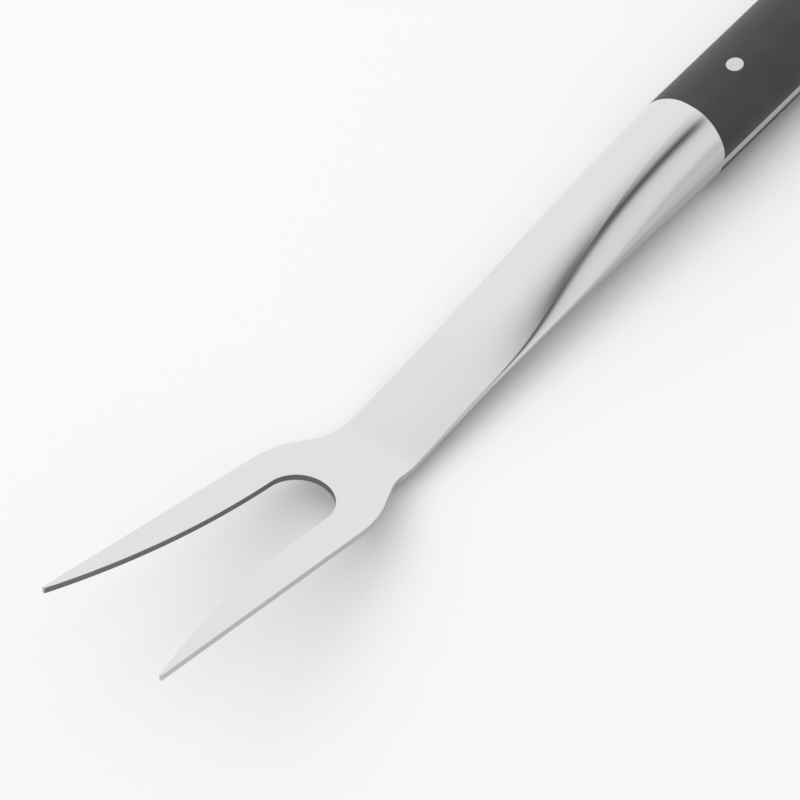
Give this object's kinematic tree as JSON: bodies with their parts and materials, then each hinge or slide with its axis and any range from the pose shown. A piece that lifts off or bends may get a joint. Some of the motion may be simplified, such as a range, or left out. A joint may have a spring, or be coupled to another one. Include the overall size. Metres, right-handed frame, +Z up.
{
  "type": "barbecue fork",
  "caption": "Long two-tined barbecue fork: forged steel blank with bent head, sculpted bolster and full tang between black riveted handle scales with a hanging hole.",
  "frame": {"origin": "under the middle of the fork's length, on the surface that the handle lies on", "axes": "+X along the handle to the butt, tips at -X; +Z up out of the fork's top face; +Y across the tines"},
  "size_m": [0.3908, 0.0434, 0.0346],
  "materials": {
    "forged_steel": "satin, brushed along the fork",
    "handle_plastic": "matt black moulded plastic",
    "rivet_steel": "satin, ground flush"
  },
  "bodies": {
    "root": {"fork_blank": "forged_steel", "scale_top": "handle_plastic", "scale_bottom": "handle_plastic", "rivet_front": "rivet_steel", "rivet_middle": "rivet_steel", "rivet_rear": "rivet_steel"}
  },
  "joints": []
}
